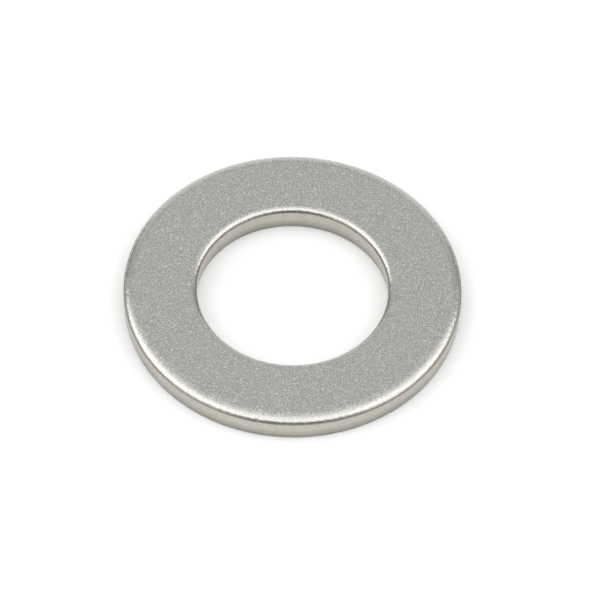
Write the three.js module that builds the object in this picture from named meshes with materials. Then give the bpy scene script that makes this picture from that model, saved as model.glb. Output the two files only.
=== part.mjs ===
// A plain flat washer for an M20 bolt: one stainless steel ring, blanked from strip.
//
// Millimetres, +Z up. The origin is on the bore's axis, in the plane of the lower bearing face.
//
// The rim and the bore are cut by one stroke of a compound die, so the whole shape is one section turned
// about Z. At the upper face the steel is drawn down into the cut before it shears, which leaves a die roll:
// a rounded edge that starts off flat and turns in sharply to the wall. Below it each wall is in two bands.
// The sheared band stands straight at the full diameter. The break band under it leans away from the tool,
// so the ring is a little narrower at the lower face. Tumbling has taken the burr off the lower edges.

import * as THREE from "three";

// Driving dimensions: the plain washer of normal series for M20.
const BORE_DIAMETER = 21;
const RIM_DIAMETER = 37;
const THICKNESS = 3.1;

// The die rolls: width along the face, depth down the wall.
const RIM_ROLL = { width: 1.4, depth: 0.71 };
const BORE_ROLL = { width: 0.76, depth: 0.53 };

// The lower part of each wall, where the strip broke through.
const BREAK_HEIGHT = 1.2;
const BREAK_LEAN = 0.1;
const LOWER_EDGE_RADIUS = 0.25;

// How finely the round stretches are divided.
const STEPS_AROUND = 120;
const ROLL_STEPS = 7;
const EDGE_STEPS = 3;

const QUARTER_TURN = Math.PI / 2;

// A quarter of an ellipse about (r, z), run counter-clockwise from startAngle.
function quarterArc(r, z, width, depth, startAngle, steps) {
  const endAngle = startAngle + QUARTER_TURN;
  return new THREE.EllipseCurve(r, z, width, depth, startAngle, endAngle).getPoints(steps);
}

// A die roll about centreRadius, between a wall and the upper face.
function dieRoll(centreRadius, roll, startAngle) {
  return quarterArc(centreRadius, THICKNESS - roll.depth, roll.width, roll.depth, startAngle, ROLL_STEPS);
}

// A tumbled lower edge about centreRadius, between a wall and the lower face.
function lowerEdge(centreRadius, startAngle) {
  const radius = LOWER_EDGE_RADIUS;
  return quarterArc(centreRadius, radius, radius, radius, startAngle, EDGE_STEPS);
}

// The ring's section in the (r, z) half plane, run counter-clockwise from the lower face's outer end.
function ringSection() {
  const boreRadius = BORE_DIAMETER / 2;
  const rimRadius = RIM_DIAMETER / 2;
  const lowerInset = BREAK_LEAN + LOWER_EDGE_RADIUS;

  const outline = [
    ...lowerEdge(rimRadius - lowerInset, -QUARTER_TURN),
    new THREE.Vector2(rimRadius, BREAK_HEIGHT),
    ...dieRoll(rimRadius - RIM_ROLL.width, RIM_ROLL, 0),
    ...dieRoll(boreRadius + BORE_ROLL.width, BORE_ROLL, QUARTER_TURN),
    new THREE.Vector2(boreRadius, BREAK_HEIGHT),
    ...lowerEdge(boreRadius + lowerInset, 2 * QUARTER_TURN),
  ];
  return [...outline, outline[0].clone()];
}

const satinSteel = new THREE.MeshStandardMaterial({
  color: new THREE.Color(0.62, 0.61, 0.58),
  roughness: 0.36,
  metalness: 1,
});

// LatheGeometry turns its section about Y, so the mesh is tipped up to stand on Z.
const washer = new THREE.Mesh(new THREE.LatheGeometry(ringSection(), STEPS_AROUND), satinSteel);
washer.name = "washer";
washer.rotation.x = QUARTER_TURN;

const flatWasher = new THREE.Group();
flatWasher.add(washer);

export default flatWasher;
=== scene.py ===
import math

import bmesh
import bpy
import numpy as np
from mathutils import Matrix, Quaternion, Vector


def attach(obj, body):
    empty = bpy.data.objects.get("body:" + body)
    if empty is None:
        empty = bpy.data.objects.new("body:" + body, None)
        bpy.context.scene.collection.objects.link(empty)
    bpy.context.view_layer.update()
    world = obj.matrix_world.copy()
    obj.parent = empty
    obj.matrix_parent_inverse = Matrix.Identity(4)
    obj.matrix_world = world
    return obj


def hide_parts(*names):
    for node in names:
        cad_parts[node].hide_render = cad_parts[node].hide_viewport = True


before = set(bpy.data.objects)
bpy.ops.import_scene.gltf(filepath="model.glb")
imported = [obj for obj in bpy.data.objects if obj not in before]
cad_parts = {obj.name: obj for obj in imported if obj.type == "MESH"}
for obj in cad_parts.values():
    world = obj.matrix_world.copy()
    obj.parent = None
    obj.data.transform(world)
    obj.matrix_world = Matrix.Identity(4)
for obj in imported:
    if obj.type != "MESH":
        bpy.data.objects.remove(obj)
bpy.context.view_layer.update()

# A plain flat washer in tumbled stainless steel, lying on a white table in a light tent.
#
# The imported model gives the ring's section: the rim, the hole, the flat faces and where each edge starts to
# roll. The ring is rebuilt here on that section with a far finer mesh, and with what punching and tumbling
# leave on real steel: drag lines down the sheared walls, a torn band under them, a shoulder that wanders,
# small dents along the rolled edges, and a satin grain of tiny facets and pits.

NODE = "washer"
MM = 0.001
TURN = 2 * math.pi


# ------------------------------------------------------------ the section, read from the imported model

def polar_vertices(node):
    """The radius and height of every vertex of a CAD node, in metres."""
    points = np.array([v.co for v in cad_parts[node].data.vertices], float)
    return np.hypot(points[:, 0], points[:, 1]), points[:, 2]


RADII, HEIGHTS = polar_vertices(NODE)
SAME = 0.01 * MM
BASE_Z = float(HEIGHTS.min())
TOP_Z = float(HEIGHTS.max())
RIM_R = float(RADII.max())
BORE_R = float(RADII.min())
TOP_RADII = RADII[HEIGHTS > TOP_Z - SAME]
BASE_RADII = RADII[HEIGHTS < BASE_Z + SAME]
RIM_WALL_Z = HEIGHTS[RADII > RIM_R - SAME]
BORE_WALL_Z = HEIGHTS[RADII < BORE_R + SAME]
LOWER_EDGE = float(HEIGHTS[HEIGHTS < RIM_WALL_Z.min() - SAME].max()) - BASE_Z


# ------------------------------------------------------------ the ring's section, row by row

# Columns round the ring, and rows in each stretch of its section.
STEPS_AROUND = 1200
EDGE_STEPS = 4
BREAK_STEPS = 5
SHEAR_STEPS = 6
ROLL_STEPS = 14
TOP_STEPS = 14
BASE_STEPS = 6

# The break band bends in towards its foot. A short row under the shoulder keeps it crisp, and the roll starts
# there at an angle to the wall.
BREAK_CURVE = 1.5
CORNER = 0.015 * MM
SHOULDER_ANGLE = 0.12

# The shoulder and the break line wander up and down, each by waves of so many cycles round the ring.
SECTION_SEED = 20
SHOULDER_WANDER = 0.012 * MM
SHOULDER_CYCLES = (9, 160)
BREAK_WANDER = 0.10 * MM
BREAK_CYCLES = (5, 90)

QUARTER_TURN = TURN / 4
ANGLES = np.arange(STEPS_AROUND) * TURN / STEPS_AROUND


def wave_round(rng, cycle_span):
    """A smooth random curve round the ring, about 1 in size: a wave for each count of cycles in the span."""
    fewest, most = cycle_span
    cycles = np.arange(fewest, most + 1)
    phases = rng.uniform(0, TURN, len(cycles))
    heights = rng.normal(size=len(cycles))
    curve = (heights[:, None] * np.cos(cycles[:, None] * ANGLES + phases[:, None])).sum(0)
    return curve / curve.std()


def spread_round(values):
    """One row for each value, which is a number or already differs from angle to angle."""
    return np.array([np.broadcast_to(value, ANGLES.shape) for value in values])


def flank(radius, outward, base_radius, top_radius, wall_z, rng):
    """One edge of the ring, rows from the base up to the flat top, a column for each angle.

    outward is 1 on the rim and -1 in the bore. Returns the radius and height of every point."""
    shoulder = wall_z.max() + SHOULDER_WANDER * wave_round(rng, SHOULDER_CYCLES)
    break_line = wall_z.min() + BREAK_WANDER * wave_round(rng, BREAK_CYCLES)
    lean = abs(radius - base_radius) - LOWER_EDGE
    depth = TOP_Z - shoulder
    width = abs(radius - top_radius)
    insets = []
    heights = []
    for angle in np.linspace(0, QUARTER_TURN, EDGE_STEPS + 1):
        insets.append(lean + LOWER_EDGE * (1 - math.sin(angle)))
        heights.append(BASE_Z + LOWER_EDGE * (1 - math.cos(angle)))
    for share in np.linspace(0, 1, BREAK_STEPS + 1)[1:]:
        insets.append(lean * (1 - share) ** BREAK_CURVE)
        heights.append(BASE_Z + LOWER_EDGE + share * (break_line - BASE_Z - LOWER_EDGE))
    for share in np.linspace(0, 1, SHEAR_STEPS + 1)[1:]:
        insets.append(0)
        heights.append(break_line + share * (shoulder - CORNER - break_line))
    for angle in np.linspace(SHOULDER_ANGLE, QUARTER_TURN, ROLL_STEPS + 1):
        insets.append(width * (1 - math.cos(angle) / math.cos(SHOULDER_ANGLE)))
        heights.append(TOP_Z - depth * (1 - math.sin(angle)) / (1 - math.sin(SHOULDER_ANGLE)))
    return radius - outward * spread_round(insets), spread_round(heights)


def flat_rows(start_r, end_r, z, steps):
    """Rows across a flat face, leaving out both ends."""
    shares = np.linspace(0, 1, steps + 1)[1:-1]
    r = spread_round((1 - shares) * start_r + shares * end_r)
    return r, np.full_like(r, z)


def ring_rows():
    """The radius and height of every point: rows once round the section, columns round the axis."""
    rng = np.random.default_rng(SECTION_SEED)
    rim_r, rim_z = flank(RIM_R, 1, BASE_RADII.max(), TOP_RADII.max(), RIM_WALL_Z, rng)
    bore_r, bore_z = flank(BORE_R, -1, BASE_RADII.min(), TOP_RADII.min(), BORE_WALL_Z, rng)
    top_r, top_z = flat_rows(TOP_RADII.max(), TOP_RADII.min(), TOP_Z, TOP_STEPS)
    base_r, base_z = flat_rows(BASE_RADII.min(), BASE_RADII.max(), BASE_Z, BASE_STEPS)
    r = np.vstack([rim_r, top_r, bore_r[::-1], base_r])
    z = np.vstack([rim_z, top_z, bore_z[::-1], base_z])
    return r, z


def section_normals(r, z):
    """The outward normal of every point in its own half plane: its sideways part and its upward part."""
    dr = np.roll(r, -1, 0) - np.roll(r, 1, 0)
    dz = np.roll(z, -1, 0) - np.roll(z, 1, 0)
    length = np.hypot(dr, dz)
    return dz / length, -dr / length


# ------------------------------------------------------------ zones of the surface

# Each span is where a zone fades in or out, by the normal's sideways or upward part, or by the level, which
# is 0 at the base and 1 at the top.
WALL_SIDEWAYS = (0.55, 0.95)
FACE_UPWARD = (0.9, 1.0)
ROLL_FROM_FACE = (0.9998, 0.972)
ROLL_FROM_WALL = (-0.05, 0.1)
# The lip's spans place its painted dark reflection.
LIP_FROM_WALL = (0.02, 0.12)
LIP_TO_ROLL = (0.56, 0.82)
TORN_RELIEF_LEVELS = (0.25, 0.45)
# The torn band's darkening is strongest at the foot, where it is also painted shade near the table.
TORN_AND_SHADE_FOOT_LEVELS = (0.06, 0.34)
TORN_EDGE_LEVELS = (0.36, 0.50)
TORN_EDGE_SHARE = 0.35


def smooth_step(span, value):
    """0 before the span and 1 after it, with a smooth change between. A falling span goes the other way."""
    start, end = span
    share = np.clip((value - start) / (end - start), 0, 1)
    return share * share * (3 - 2 * share)


def levels(z):
    """Heights as shares of the ring's thickness."""
    return (z - BASE_Z) / (TOP_Z - BASE_Z)


def torn_band_and_foot_shade(z):
    """How dark the wall's torn band is, with painted shade near the table: fully at its foot, a little up to
    the break line, not at all above it.
    """
    edge = TORN_EDGE_SHARE * smooth_step(TORN_EDGE_LEVELS, levels(z))
    foot = (1 - TORN_EDGE_SHARE) * smooth_step(TORN_AND_SHADE_FOOT_LEVELS, levels(z))
    return 1 - edge - foot


def zones(z, sideways, upward):
    """What the steel reads, from 0 to 1. The lip is where a roll makes its last turn to the wall. The lip
    carries a painted dark reflection, and the torn zone carries painted shade at the wall's foot.
    """
    return {
        "wall": smooth_step(WALL_SIDEWAYS, np.abs(sideways)),
        "roll": smooth_step(ROLL_FROM_FACE, upward) * smooth_step(ROLL_FROM_WALL, upward),
        # The lip zone carries a painted dark reflection.
        "lip": smooth_step(LIP_FROM_WALL, upward) * (1 - smooth_step(LIP_TO_ROLL, upward)),
        # Painted shade at the wall's foot, together with the torn band.
        "torn": torn_band_and_foot_shade(z),
    }


# ------------------------------------------------------------ relief

# How far each kind of wave moves the steel, and its cycles round the ring.
RELIEF_SEED = 37
DRAG_COARSE = 0.0035 * MM
DRAG_COARSE_CYCLES = (40, 150)
DRAG_FINE = 0.0016 * MM
DRAG_FINE_CYCLES = (150, 480)
TORN_RELIEF = 0.006 * MM
TORN_CYCLES = (60, 400)
FACE_WAVE = 0.0015 * MM
FACE_CYCLES = (3, 9)

# The dents lie where the normal's upward part is in the span. Their sizes are radii in millimetres.
DENTS = 90
DENT_UPWARD = (0.15, 0.95)
DENT_SIZES = (0.12, 0.35)
DENT_DEPTH = 0.012 * MM
DENT_DEPTH_SHARES = (0.3, 1.0)


def dents(r, z, upward, rng):
    """Small round dents on the rolled edges, where washers knock together in the barrel."""
    depth = np.zeros_like(r)
    lowest, highest = DENT_UPWARD
    rolled = np.argwhere((upward > lowest) & (upward < highest))
    for row, column in rolled[rng.integers(len(rolled), size=DENTS)]:
        size = rng.uniform(*DENT_SIZES) * MM
        across = (r - r[row, column]) ** 2 + (z - z[row, column]) ** 2
        along = (ANGLES - ANGLES[column] + math.pi) % TURN - math.pi
        distance = np.sqrt(across + (along * r[row, column]) ** 2)
        bowl = np.clip(1 - (distance / size) ** 2, 0, 1) ** 2
        depth += rng.uniform(*DENT_DEPTH_SHARES) * DENT_DEPTH * bowl
    return depth


def relief(r, z, sideways, upward):
    """How far each point moves out along its normal, to give the steel its punched and tumbled surface."""
    rng = np.random.default_rng(RELIEF_SEED)
    wall = smooth_step(WALL_SIDEWAYS, np.abs(sideways))
    torn = wall * (1 - smooth_step(TORN_RELIEF_LEVELS, levels(z)))
    face = smooth_step(FACE_UPWARD, upward)
    coarse = DRAG_COARSE * wave_round(rng, DRAG_COARSE_CYCLES)
    fine = DRAG_FINE * wave_round(rng, DRAG_FINE_CYCLES)
    tears = TORN_RELIEF * np.array([wave_round(rng, TORN_CYCLES) for _ in r])
    swell = FACE_WAVE * wave_round(rng, FACE_CYCLES) * np.cos((r - BORE_R) / (RIM_R - BORE_R) * TURN)
    height = wall * (coarse + fine) + torn * tears + face * swell - dents(r, z, upward, rng)
    height[z < BASE_Z + SAME] = 0
    return height


# ------------------------------------------------------------ the ring's mesh

def closed_sheet(name, x, y, z):
    """A mesh of quads over a grid of points that closes on itself both ways."""
    bm = bmesh.new()
    rows = [[bm.verts.new(point) for point in zip(*row)] for row in zip(x, y, z)]
    for row, above in zip(rows, rows[1:] + rows[:1]):
        for i in range(STEPS_AROUND):
            k = (i + 1) % STEPS_AROUND
            bm.faces.new((row[i], row[k], above[k], above[i]))
    mesh = bpy.data.meshes.new(name)
    bm.to_mesh(mesh)
    bm.free()
    mesh.shade_smooth()
    return mesh


def ring_mesh(name):
    """The ring with its relief, kept inside the CAD model's box, and its zones as attributes."""
    r, z = ring_rows()
    sideways, upward = section_normals(r, z)
    height = relief(r, z, sideways, upward)
    r = np.clip(r + sideways * height, BORE_R, RIM_R)
    z = np.clip(z + upward * height, BASE_Z, TOP_Z)
    mesh = closed_sheet(name, r * np.cos(ANGLES), r * np.sin(ANGLES), z)
    for zone, shares in zones(z, sideways, upward).items():
        layer = mesh.attributes.new(zone, "FLOAT", "POINT")
        layer.data.foreach_set("value", shares.astype(np.float32).ravel())
    return mesh


# ------------------------------------------------------------ material nodes

class Nodes:
    """Adds nodes to a node tree and links them: an input is a number, a colour or another node's socket."""

    # A Mix node has one output for each type of value, and the colour's is this one.
    MIXED_COLOUR = 2

    def __init__(self, tree):
        self.tree = tree

    def feed(self, socket, value):
        if isinstance(value, bpy.types.NodeSocket):
            self.tree.links.new(value, socket)
        else:
            socket.default_value = value

    def set(self, node, name, value):
        self.feed(next(s for s in node.inputs if s.name == name and s.enabled), value)

    def add(self, kind, settings=None, output=0, **inputs):
        node = self.tree.nodes.new(kind)
        for name, value in (settings or {}).items():
            setattr(node, name, value)
        for name, value in inputs.items():
            self.set(node, name.replace("_", " "), value)
        return node.outputs[output]

    def operate(self, kind, operation, values):
        node = self.tree.nodes.new(kind)
        node.operation = operation
        for socket, value in zip(node.inputs, values):
            self.feed(socket, value)
        return node.outputs[0]

    def math(self, operation, *values):
        return self.operate("ShaderNodeMath", operation, values)

    def vector(self, operation, *values):
        return self.operate("ShaderNodeVectorMath", operation, values)

    def scaled(self, vector, scale):
        return self.add("ShaderNodeVectorMath", {"operation": "SCALE"}, Vector=vector, Scale=scale)

    def split(self, vector):
        return self.add("ShaderNodeSeparateXYZ", Vector=vector).node.outputs

    def product(self, first, *others):
        for other in others:
            first = self.math("MULTIPLY", first, other)
        return first

    def total(self, first, *others):
        for other in others:
            first = self.math("ADD", first, other)
        return first

    def between(self, share, start, end):
        return self.math("MULTIPLY_ADD", share, end - start, start)

    def remap(self, value, span, to_span=(0, 1), smooth=False):
        return self.add(
            "ShaderNodeMapRange",
            {"interpolation_type": "SMOOTHSTEP" if smooth else "LINEAR", "clamp": True},
            Value=value,
            From_Min=span[0],
            From_Max=span[1],
            To_Min=to_span[0],
            To_Max=to_span[1],
        )

    def fade_in(self, value, span):
        return self.remap(value, span, smooth=True)

    def fade_out(self, value, span):
        return self.math("SUBTRACT", 1.0, self.fade_in(value, span))

    def attribute(self, name):
        return self.add("ShaderNodeAttribute", {"attribute_name": name}, output="Fac")

    def noise(self, place, scale, detail, roughness=0.5, output=0):
        return self.add(
            "ShaderNodeTexNoise",
            output=output,
            Vector=place,
            Scale=scale,
            Detail=detail,
            Roughness=roughness,
        )

    def mix(self, factor, a, b):
        return self.add(
            "ShaderNodeMix", {"data_type": "RGBA"}, output=self.MIXED_COLOUR, Factor=factor, A=a, B=b
        )


# ------------------------------------------------------------ satin steel

STEEL = (0.580, 0.575, 0.533, 1)
PITTED_STEEL = (0.12, 0.118, 0.108, 1)
ROSY_WALL = (0.535, 0.494, 0.448, 1)
GREEN_WALL = (0.504, 0.496, 0.436, 1)
# Dark torn steel, which at the walls' foot also stands in as painted shade near the table.
TORN_AND_SHADED_WALL = (0.27, 0.26, 0.228, 1)
# A painted dark reflection along each lip: the steel there is given a dark colour in place of the dark
# surroundings it would reflect.
LIP_PAINTED_REFLECTION = (0.265, 0.237, 0.211, 1)

# What a reflection at a glancing angle is tinted by.
FACE_EDGE = (1, 1, 1, 1)
# The lip's glancing reflections are dimmed too, which keeps its painted dark reflection dark.
LIP_REFLECTION_EDGE = (0.45, 0.45, 0.45, 1)

# The grain's facets tilt the normal at random, by so much on each zone.
GRAIN_PER_M = 5900
FACE_TILT = 1.25
ROLL_TILT = 0.40
WALL_TILT = 0.50

# Each texture has its count per metre. Noise hovers about a half, and each span is the part of it that
# shows.
PITS_PER_M = 7400
PIT_SPAN = (0.25, 0.50)
PIT_SHARES = (0.40, 0.0)
PATCHES_PER_M = 900
PATCH_SPAN = (0.3, 0.7)
PATCH_ROUGHNESS = (0.17, 0.21)
WALL_ROUGHNESS = 0.10
STREAKS_PER_M = 2600
STREAK_STRETCH = (1, 1, 0.12)
STREAK_SPAN = (0.35, 0.75)
STREAK_SHARES = (0.0, 0.22)
BLOTCHES_PER_M = 260
HUE_SPAN = (0.4, 0.6)
BLOTCH_SPAN = (0.35, 0.65)
# The blotches vary how dark the torn band's painted shade and the lip's painted reflection are.
TORN_AND_SHADE_SHARES = (0.80, 1.0)
LIP_REFLECTION_SHARES = (0.93, 0.77)


def grain_normal(n, place, wall, roll):
    """The normal, tilted at random from facet to facet: most on the flat faces."""
    normal = n.add("ShaderNodeNewGeometry", output="Normal")
    grain = n.noise(place, GRAIN_PER_M, detail=1.5, roughness=0.6, output="Color")
    strength = n.remap(wall, (0, 1), (n.remap(roll, (0, 1), (FACE_TILT, ROLL_TILT)), WALL_TILT))
    tilt = n.scaled(n.vector("SUBTRACT", grain, (0.5, 0.5, 0.5)), strength)
    return n.vector("NORMALIZE", n.vector("ADD", normal, tilt))


def satin_roughness(n, place, wall):
    """Slightly duller in patches, and duller again on the cut walls."""
    patches = n.noise(place, PATCHES_PER_M, detail=3)
    return n.total(n.remap(patches, PATCH_SPAN, PATCH_ROUGHNESS), n.product(wall, WALL_ROUGHNESS))


def face_colour(n, place):
    """The tumbled faces: bright steel with tiny dark pits."""
    pits = n.noise(place, PITS_PER_M, detail=1.0)
    return n.mix(n.remap(pits, PIT_SPAN, PIT_SHARES), STEEL, PITTED_STEEL)


def wall_colour(n, place, blotches, torn):
    """The cut walls: rosy in places and greenish in others, streaked downwards, and dark where torn, which at
    the foot is also painted shade near the table.
    """
    streaks = n.noise(n.vector("MULTIPLY", place, STREAK_STRETCH), STREAKS_PER_M, detail=3, roughness=0.6)
    cut = n.mix(n.remap(blotches, HUE_SPAN), ROSY_WALL, GREEN_WALL)
    streaked = n.mix(n.remap(streaks, STREAK_SPAN, STREAK_SHARES), cut, TORN_AND_SHADED_WALL)
    # Darker towards the foot: the torn band, and painted shade near the table.
    return n.mix(n.product(torn, n.remap(blotches, BLOTCH_SPAN, TORN_AND_SHADE_SHARES)), streaked, TORN_AND_SHADED_WALL)


def steel():
    """Satin stainless steel, with a thin painted dark reflection along the lip where each rolled edge turns
    into its wall, and painted shade at the walls' foot.
    """
    mat = bpy.data.materials.new("satin_steel")
    mat.use_nodes = True
    shader = mat.node_tree.nodes["Principled BSDF"]
    n = Nodes(mat.node_tree)
    place = n.add("ShaderNodeTexCoord", output="Object")
    wall = n.attribute("wall")
    lip = n.attribute("lip")
    blotches = n.noise(place, BLOTCHES_PER_M, detail=3)
    # The torn zone darkens the walls towards the table, partly as painted shade.
    walls = wall_colour(n, place, blotches, n.attribute("torn"))
    colour = n.mix(wall, face_colour(n, place), walls)
    # Painted reflection: the lip takes a dark colour in place of the dark surroundings it would reflect, so
    # its dark line shows in any light.
    colour = n.mix(n.product(lip, n.remap(blotches, BLOTCH_SPAN, LIP_REFLECTION_SHARES)), colour, LIP_PAINTED_REFLECTION)
    n.set(shader, "Base Color", colour)
    # The lip's glancing reflections are dimmed as well, as part of the same painted dark reflection.
    n.set(shader, "Specular Tint", n.mix(lip, FACE_EDGE, LIP_REFLECTION_EDGE))
    n.set(shader, "Roughness", satin_roughness(n, place, wall))
    n.set(shader, "Normal", grain_normal(n, place, wall, n.attribute("roll")))
    shader.inputs["Metallic"].default_value = 1
    return mat


# ------------------------------------------------------------ the table

TABLE_HALF = 4.0
TABLE_COLOUR = (0.92, 0.92, 0.92, 1)
TABLE_ROUGHNESS = 0.9


def table_white():
    """Matt white, with no gloss."""
    mat = bpy.data.materials.new("white_table")
    mat.use_nodes = True
    shader = mat.node_tree.nodes["Principled BSDF"]
    shader.inputs["Base Color"].default_value = TABLE_COLOUR
    shader.inputs["Roughness"].default_value = TABLE_ROUGHNESS
    shader.inputs["Specular IOR Level"].default_value = 0.0
    return mat


def white_table():
    """The even white table that the washer lies on."""
    bm = bmesh.new()
    corners = ((-1, -1), (1, -1), (1, 1), (-1, 1))
    bm.faces.new([bm.verts.new((x * TABLE_HALF, y * TABLE_HALF, BASE_Z)) for x, y in corners])
    mesh = bpy.data.meshes.new("floor")
    bm.to_mesh(mesh)
    bm.free()
    mesh.materials.append(table_white())
    table = bpy.data.objects.new("floor", mesh)
    bpy.context.scene.collection.objects.link(table)


# ------------------------------------------------------------ the light tent

# The tent is drawn by direction: x to the right, y to the back and z up, each a part of a unit length. Each
# span is where a light fades in or out along one of them. The sheet's and the glow's spans are tangents of
# the lean from straight up, and FRONT_TOP is an angle up from the front.
COOL_LIGHT = (0.955, 0.99, 1.01)
WARM_LIGHT = (1.00, 0.99, 0.975)
SHEET_LIGHT = 0.80
SHEET_SIDE = (0.50, 1.10)
SHEET_BACK = (-0.45, 0.35)
SHEET_FRONT = (-1.60, -0.65)
GLOW_LIGHT = 0.44
GLOW_BACK = (0.20, 1.15)
CLOTH_LEFT = 2.00
CLOTH_RIGHT = 1.80
CLOTH_SIDE = (0.26, 1.00)
CLOTH_LEFT_BACK = (0.32, 0.68)
CLOTH_RIGHT_BACK = (0.16, 0.70)
HEM = (0.0, 0.40)
HEM_LIGHT = 0.12
BACK_LIGHT = 0.51
FRONT_LIGHT = 0.48
FRONT_TOP = (math.radians(37), math.radians(52))
LOW_LIGHT = 1.0
LOW_HEIGHT = (0.0, 0.75)
LOW_BEHIND = (0.0, 0.5)
LOW_SIDE = (0.33, 0.63)
SKIRT = (0.0, 0.46)
SKIRT_LIGHT = 0.55
HORIZON = 0.001


def ceiling_light(n, x, y, z):
    """A sheet overhead that leans to the front, with a fainter glow that reaches further back."""
    above = n.math("MAXIMUM", z, HORIZON)
    beyond = n.math("DIVIDE", y, above)
    aside = n.math("DIVIDE", n.math("ABSOLUTE", x), above)
    sheet = n.product(SHEET_LIGHT, n.fade_out(beyond, SHEET_BACK))
    glow = n.product(GLOW_LIGHT, n.fade_out(beyond, GLOW_BACK))
    return n.product(n.total(sheet, glow), n.fade_out(aside, SHEET_SIDE), n.fade_in(beyond, SHEET_FRONT))


def cloth_light(n, x, y, z):
    """Bright cloth at both sides, which fades to the back and is dim along its hem."""
    left = n.product(CLOTH_LEFT, n.fade_out(y, CLOTH_LEFT_BACK), n.math("LESS_THAN", x, 0.0))
    right = n.product(CLOTH_RIGHT, n.fade_out(y, CLOTH_RIGHT_BACK), n.math("GREATER_THAN", x, 0.0))
    hem = n.between(n.fade_in(z, HEM), HEM_LIGHT, 1)
    return n.product(n.fade_in(n.math("ABSOLUTE", x), CLOTH_SIDE), n.total(left, right), hem)


def grey_light(n, x, y, z):
    """Even grey all round, with a brighter strip low down at the back, and dimmer near the table."""
    up_from_front = n.math("ARCTAN2", z, n.math("MULTIPLY", y, -1.0))
    grey = n.between(n.fade_in(up_from_front, FRONT_TOP), FRONT_LIGHT, BACK_LIGHT)
    aside = n.fade_out(n.math("ABSOLUTE", x), LOW_SIDE)
    low = n.product(LOW_LIGHT, n.fade_out(z, LOW_HEIGHT), n.fade_in(y, LOW_BEHIND), aside)
    skirt = n.between(n.fade_in(z, SKIRT), SKIRT_LIGHT, 1)
    return n.product(n.total(grey, low), skirt)


def light_tent():
    """Soft light from all round: a warm sheet overhead and cloth at both sides, and cool grey elsewhere."""
    world = bpy.data.worlds.new("light_tent")
    bpy.context.scene.world = world
    world.use_nodes = True
    n = Nodes(world.node_tree)
    x, y, z = n.split(n.add("ShaderNodeTexCoord", output="Generated"))
    cool = n.scaled(COOL_LIGHT, grey_light(n, x, y, z))
    warm = n.scaled(WARM_LIGHT, n.total(ceiling_light(n, x, y, z), cloth_light(n, x, y, z)))
    n.set(world.node_tree.nodes["Background"], "Color", n.vector("ADD", cool, warm))


# ------------------------------------------------------------ the camera

ELEVATION = math.radians(52.7)
ROLL = math.radians(1.06)
DISTANCE_IN_RADII = 60
RADIUS_SHARE_OF_WIDTH = 0.2811
AIM_RIGHT = 0.0453
AIM_UP = 0.0206
NEAREST = 0.05
FARTHEST = 20


def camera():
    """A long lens from the front. The aim point is off the axis by shares of the rim's radius."""
    back = Vector((0, -math.cos(ELEVATION), math.sin(ELEVATION)))
    up = Vector((0, math.sin(ELEVATION), math.cos(ELEVATION)))
    aim = Vector((0, 0, BASE_Z)) + RIM_R * (AIM_RIGHT * Vector((1, 0, 0)) + AIM_UP * up)
    data = bpy.data.cameras.new("camera")
    data.lens = RADIUS_SHARE_OF_WIDTH * data.sensor_width * DISTANCE_IN_RADII
    data.clip_start = NEAREST
    data.clip_end = FARTHEST
    cam = bpy.data.objects.new("camera", data)
    cam.rotation_mode = "QUATERNION"
    cam.location = aim + back * DISTANCE_IN_RADII * RIM_R
    cam.rotation_quaternion = Quaternion(back, ROLL) @ (-back).to_track_quat("-Z", "Y")
    bpy.context.scene.collection.objects.link(cam)
    bpy.context.scene.camera = cam


# ------------------------------------------------------------ the scene

camera()
white_table()
light_tent()
bpy.context.scene.view_settings.view_transform = "Standard"

ring = bpy.data.objects.new("flat_washer", ring_mesh("flat_washer"))
bpy.context.scene.collection.objects.link(ring)
ring.data.materials.append(steel())
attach(ring, "root")
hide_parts(NODE)
